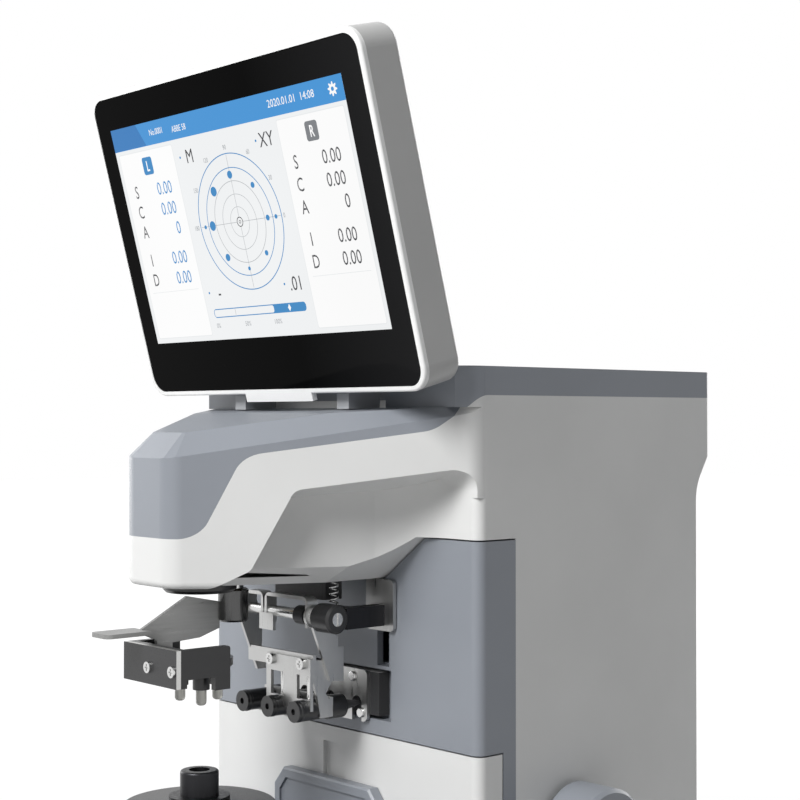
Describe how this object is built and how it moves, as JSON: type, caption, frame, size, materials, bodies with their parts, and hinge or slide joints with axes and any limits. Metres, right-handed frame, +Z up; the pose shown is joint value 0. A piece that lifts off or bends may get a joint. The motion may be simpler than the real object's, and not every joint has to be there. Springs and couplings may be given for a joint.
{
  "type": "auto lensmeter",
  "caption": "Desktop instrument that reads spectacle lenses, with a tilting touch screen, lens holder, marking pens and sliding lens table.",
  "frame": {"origin": "centre of the whole object's outline at table level", "axes": "+Z up, -Y towards the user, +X to the user's right"},
  "size_m": [0.2112, 0.2459, 0.4165],
  "materials": {
    "white_plastic": "fine matte",
    "slate_plastic": "fine matte",
    "silver_plastic": "satin paint",
    "grey_plastic": "matte",
    "black_plastic": "satin",
    "switch_plastic": "gloss",
    "soft_tip": "translucent",
    "felt": "felt",
    "satin_steel": "satin",
    "bright_steel": "bright",
    "bronze": "machined",
    "anodised": "black anodised",
    "slate_metal": "satin paint",
    "dark_glass": "gloss",
    "clear_glass": "clear",
    "board": "solder mask",
    "rubber": "matte"
  },
  "bodies": {
    "body": {"base_plate": "slate_plastic", "chassis_plate": "bright_steel", "collimator_tube": "anodised", "data_ports": "black_plastic", "feet": "rubber", "front_panel": "slate_plastic", "guide_bushes": "bronze", "hinge_brackets": "grey_plastic", "hinge_pins": "bright_steel", "imaging_barrel": "black_plastic", "imaging_lens": "clear_glass", "ink_pad": "felt", "ink_plate": "satin_steel", "light_board": "board", "light_ring": "black_plastic", "lower_front_cover": "white_plastic", "main_board": "board", "main_housing": "white_plastic", "marker_block": "black_plastic", "marker_guide_rod": "bright_steel", "nosepiece": "black_plastic", "power_inlet": "black_plastic", "power_supply": "bright_steel", "rear_panel": "slate_plastic", "sensor_board": "board", "stage_deck": "slate_plastic", "stage_disc": "black_plastic", "stage_housing": "white_plastic", "switch_frame": "black_plastic", "table_guide": "black_plastic", "top_cover": "slate_plastic", "window_glass": "clear_glass"},
    "display": {"display_rim": "white_plastic", "display_glass": "dark_glass", "display_shell": "silver_plastic", "display_back_cover": "silver_plastic", "screen_module": "board", "display_board": "board"},
    "lens_holder": {"holder_frame": "black_plastic", "holder_tips": "soft_tip", "holder_front_plate": "satin_steel", "holder_screws": "bright_steel", "holder_barrel": "black_plastic", "holder_plunger": "bright_steel", "holder_arm": "satin_steel"},
    "marker_lift": {"marker_carriage": "black_plastic", "marker_slide_plate": "satin_steel", "marker_spring": "bright_steel"},
    "marker_arm": {"marker_shaft": "bright_steel", "marker_end_knob": "black_plastic", "marker_frame": "satin_steel", "marker_hoops": "satin_steel", "marker_pens": "black_plastic", "pen_nibs": "felt", "marker_screws": "bright_steel"},
    "table": {"lens_table": "slate_metal", "table_carriage": "slate_metal"},
    "table_shaft": {"pinion_shaft": "bright_steel", "table_knobs": "slate_plastic"},
    "rocker": {"power_switch": "switch_plastic"}
  },
  "joints": [
    {"name": "display_tilt", "type": "hinge", "parent": "body", "child": "display", "pos_m": [0, -0.02225, 0.295], "axis": [-1, 0, 0], "range_deg": [0, 105]},
    {"name": "lens_holder_slide", "type": "slide", "parent": "body", "child": "lens_holder", "axis": [0, 0, -1], "range_m": [0, 0.025]},
    {"name": "marker_lift_slide", "type": "slide", "parent": "body", "child": "marker_lift", "axis": [0, 0, -1], "range_m": [0, 0.015], "stiffness_N_per_m": 120, "springref_m": -0.02, "deforming": ["marker_spring"]},
    {"name": "marker_swing", "type": "hinge", "parent": "marker_lift", "child": "marker_arm", "pos_m": [0, -0.04, 0.2012], "axis": [-1, 0, 0], "range_deg": [0, 22]},
    {"name": "table_slide", "type": "slide", "parent": "body", "child": "table", "axis": [0, -1, 0], "range_m": [0, 0.028]},
    {"name": "table_knob_turn", "type": "hinge", "parent": "body", "child": "table_shaft", "pos_m": [0, 0.0369, 0.1188], "axis": [1, 0, 0], "range_deg": [-190, 190]},
    {"name": "switch_rock", "type": "hinge", "parent": "body", "child": "rocker", "pos_m": [0.01, 0.112, 0.05], "axis": [-1, 0, 0], "range_deg": [0, 12]}
  ],
  "couplings": [
    {"joint": "table_knob_turn", "follows": "table_slide", "rad_per_m": -114.29}
  ]
}
